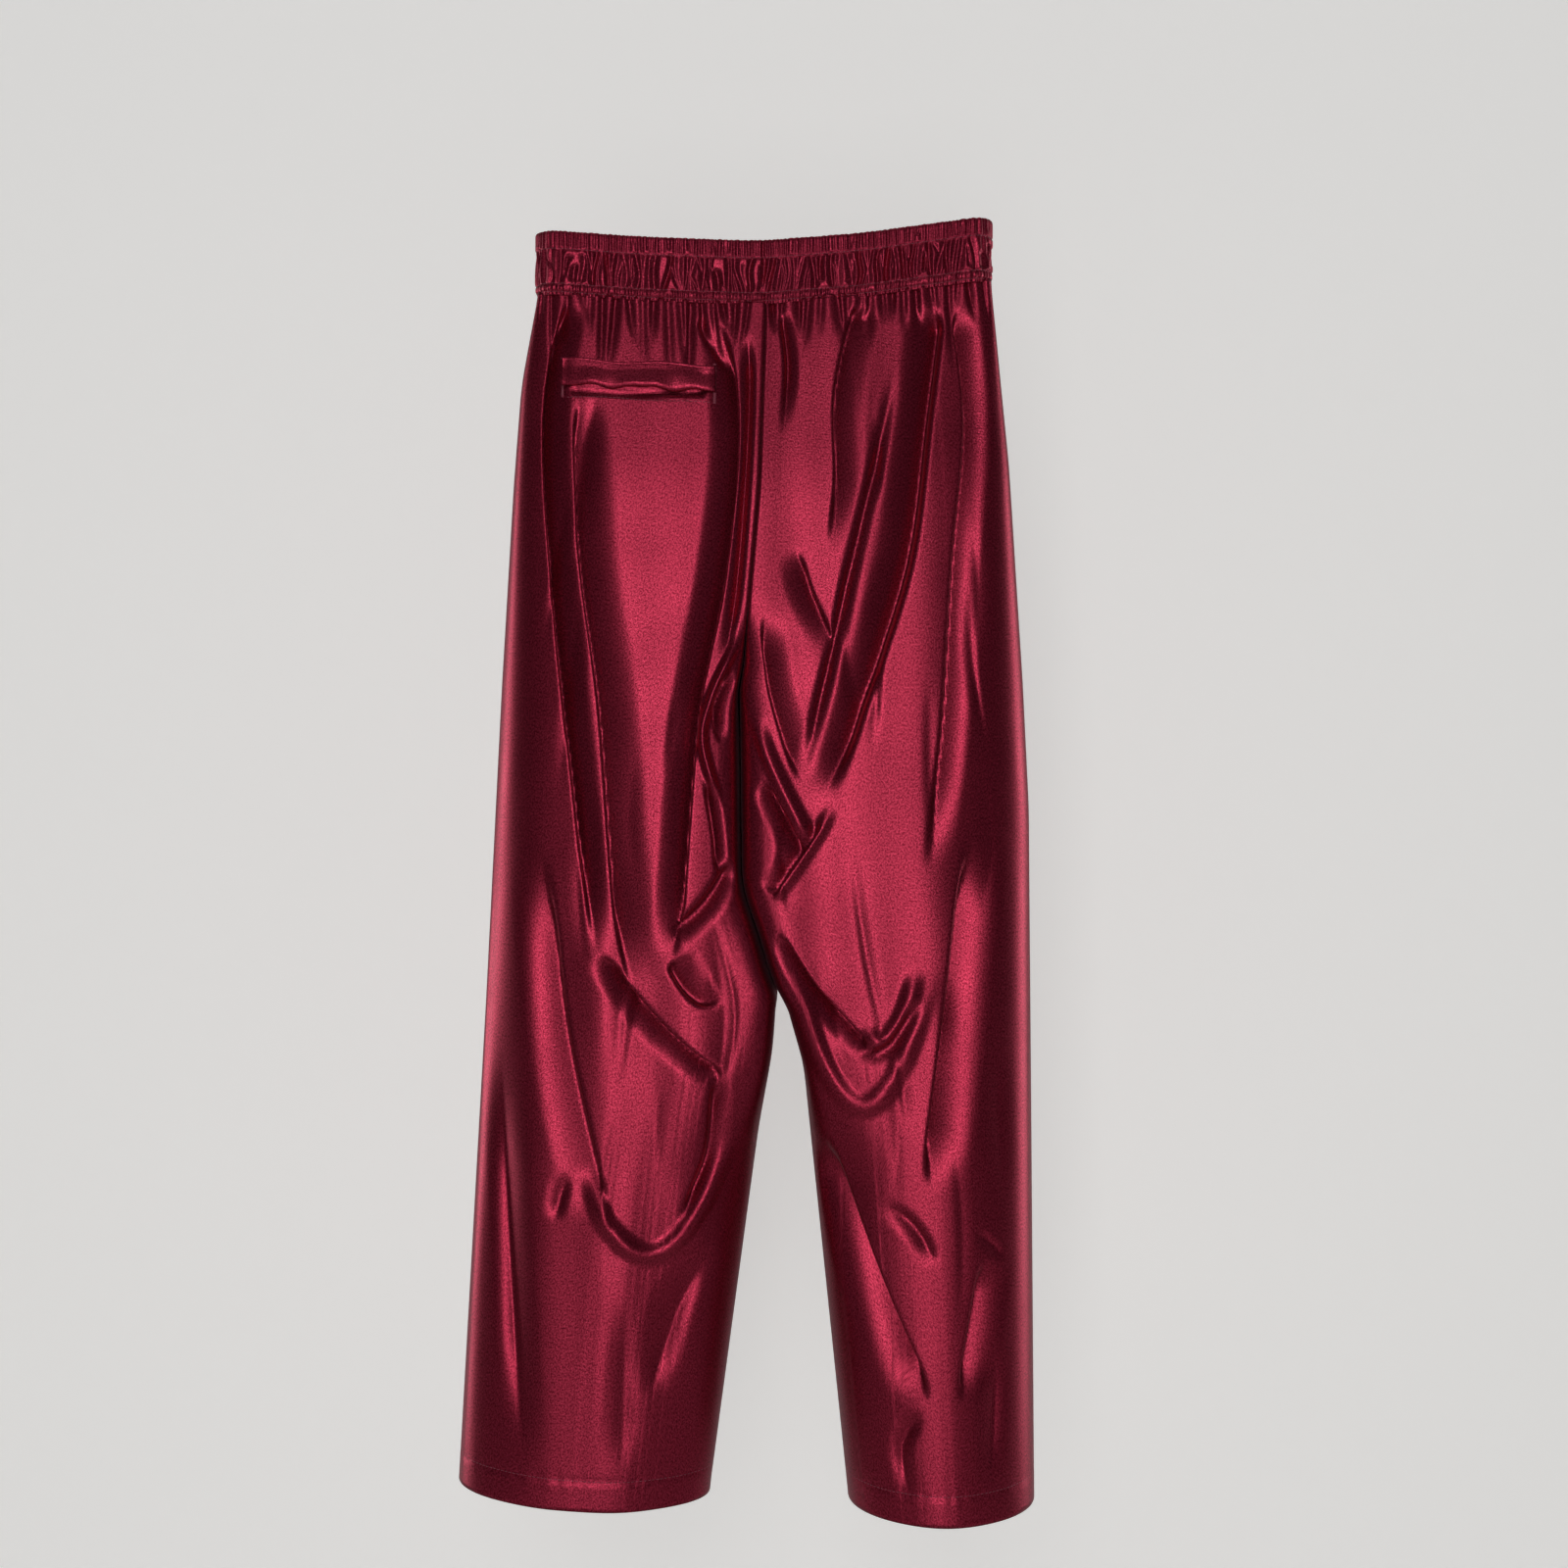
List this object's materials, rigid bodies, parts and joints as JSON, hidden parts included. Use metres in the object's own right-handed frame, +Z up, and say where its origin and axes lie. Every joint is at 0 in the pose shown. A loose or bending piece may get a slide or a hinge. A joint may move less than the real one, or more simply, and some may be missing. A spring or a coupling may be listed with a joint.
{
  "type": "elastic-waist satin trousers",
  "caption": "Full-length satin training trousers with a gathered elastic waist, a back welt pocket and side-seam pockets, hanging from the waistband.",
  "frame": {"origin": "centre of the waist opening, level with the middle of the waistband's top edge", "axes": "+Z up along the hanging legs, +Y towards the front of the trousers (the back pocket faces -Y), +X towards the wearer's right side seam"},
  "size_m": [0.452, 0.1324, 1.007],
  "materials": {
    "satin": "deep maroon polyester satin, glossy with a fine rib and speckle",
    "pocketing": "plain-weave maroon pocket lining, matt",
    "elastic": "woven white elastic webbing",
    "thread": "maroon polyester sewing thread",
    "label_tape": "white woven label tape, blank"
  },
  "bodies": {
    "seat": {"waistband_casing_back": "satin", "waistband_casing_front": "satin", "waist_elastic": "elastic", "left_back_seat": "satin", "left_front_seat": "satin", "right_back_seat": "satin", "right_front_seat": "satin", "back_pocket_welt": "satin", "back_pocket_bag_outer": "pocketing", "back_pocket_bag_inner": "pocketing", "left_pocket_bag_front": "pocketing", "left_pocket_bag_back": "pocketing", "right_pocket_bag_front": "pocketing", "right_pocket_bag_back": "pocketing", "bar_tack_outer": "thread", "bar_tack_inner": "thread", "care_label": "label_tape"},
    "left_leg": {"left_back_leg": "satin", "left_front_leg": "satin"},
    "right_leg": {"right_back_leg": "satin", "right_front_leg": "satin"}
  },
  "joints": [
    {"name": "left_leg_swing", "type": "hinge", "parent": "seat", "child": "left_leg", "pos_m": [-0.105, 0, -0.366], "axis": [1, 0, 0], "range_deg": [-45, 45]},
    {"name": "right_leg_swing", "type": "hinge", "parent": "seat", "child": "right_leg", "pos_m": [0.105, 0, -0.366], "axis": [1, 0, 0], "range_deg": [-45, 45]}
  ]
}
